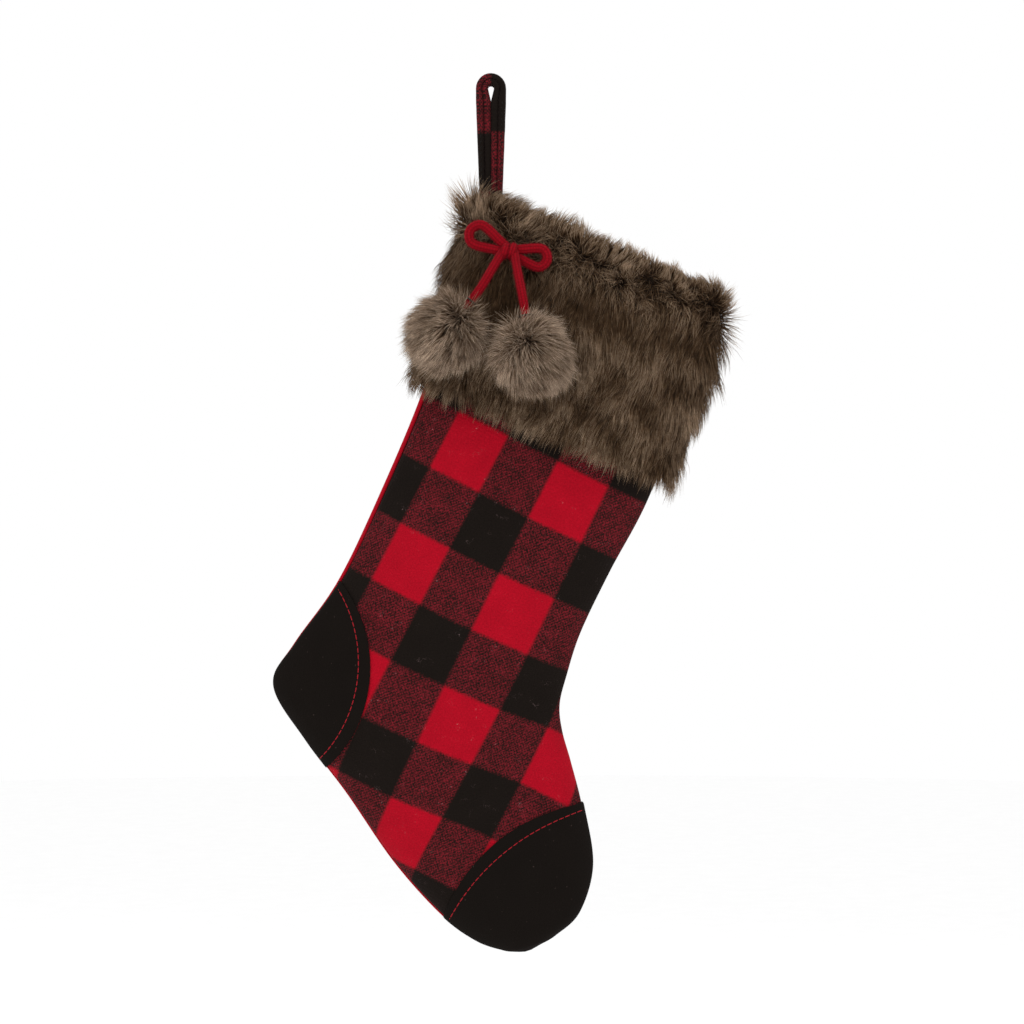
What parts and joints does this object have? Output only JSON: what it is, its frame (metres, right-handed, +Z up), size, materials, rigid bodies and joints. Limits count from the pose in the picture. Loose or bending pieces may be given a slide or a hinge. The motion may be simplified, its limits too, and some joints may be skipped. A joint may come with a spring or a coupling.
{
  "type": "hanging stocking",
  "caption": "Hanging Christmas stocking in red and black check with a faux-fur cuff, a cord bow with two pom-poms, and a strap loop to hang it by.",
  "frame": {"origin": "middle of the hanging loop's eye, where the hook passes", "axes": "+Z up, +X towards the toe, -Y is the front with the bow, +Y is the side that faces the wall"},
  "size_m": [0.297, 0.1226, 0.5681],
  "materials": {
    "check_fabric": "woven wool check in bright red, black and red-black",
    "red_felt": "brushed felt",
    "black_felt": "brushed felt",
    "lining_fabric": "plain woven lining",
    "brown_fur": "long-pile faux fur, dark roots and pale tips",
    "red_cord": "knitted wool cord",
    "red_thread": "sewing thread",
    "black_thread": "sewing thread",
    "brown_thread": "sewing thread",
    "fibre_filling": "loose polyester fibre"
  },
  "bodies": {
    "loop": {"hanging_loop": "check_fabric", "loop_edge_stitches": "black_thread"},
    "loop_tack": {"loop_bartack": "black_thread"},
    "stocking": {"loop_tail": "check_fabric", "front_panel": "check_fabric", "back_panel": "red_felt", "lining_front": "lining_fabric", "lining_back": "lining_fabric", "heel_patch": "black_felt", "toe_patch": "black_felt", "heel_topstitch": "red_thread", "toe_topstitch": "red_thread", "fur_cuff": "brown_fur", "cuff_seam_stitches": "brown_thread", "bow_knot": "red_cord", "bow_loop_left": "red_cord", "bow_loop_right": "red_cord", "bow_tack_thread": "red_thread"},
    "tail_left_root": {"tail_left_bend": "red_cord"},
    "pom_left": {"cord_tail_left": "red_cord", "cord_end_knot_left": "red_cord", "pom_left_cover": "brown_fur", "pom_left_filling": "fibre_filling", "pom_left_gather_thread": "brown_thread"},
    "tail_right_root": {"tail_right_bend": "red_cord"},
    "pom_right": {"cord_tail_right": "red_cord", "cord_end_knot_right": "red_cord", "pom_right_cover": "brown_fur", "pom_right_filling": "fibre_filling", "pom_right_gather_thread": "brown_thread"}
  },
  "joints": [
    {"name": "swing_out", "type": "hinge", "parent": "loop", "child": "loop_tack", "pos_m": [0, 0, -0.072], "axis": [-1, 0, 0], "range_deg": [-15, 45]},
    {"name": "sway", "type": "hinge", "parent": "loop_tack", "child": "stocking", "pos_m": [0, 0, -0.072], "axis": [0, 1, 0], "range_deg": [-20, 20]},
    {"name": "pom_left_lift", "type": "hinge", "parent": "stocking", "child": "tail_left_root", "pos_m": [0.0079, -0.039, -0.109], "axis": [-1, 0, 0], "range_deg": [0, 90]},
    {"name": "pom_left_sway", "type": "hinge", "parent": "tail_left_root", "child": "pom_left", "pos_m": [0.0079, -0.039, -0.109], "axis": [0, 1, 0], "range_deg": [0, 35]},
    {"name": "pom_right_lift", "type": "hinge", "parent": "stocking", "child": "tail_right_root", "pos_m": [0.0151, -0.039, -0.109], "axis": [-1, 0, 0], "range_deg": [0, 90]},
    {"name": "pom_right_sway", "type": "hinge", "parent": "tail_right_root", "child": "pom_right", "pos_m": [0.0151, -0.039, -0.109], "axis": [0, -1, 0], "range_deg": [0, 35]}
  ]
}
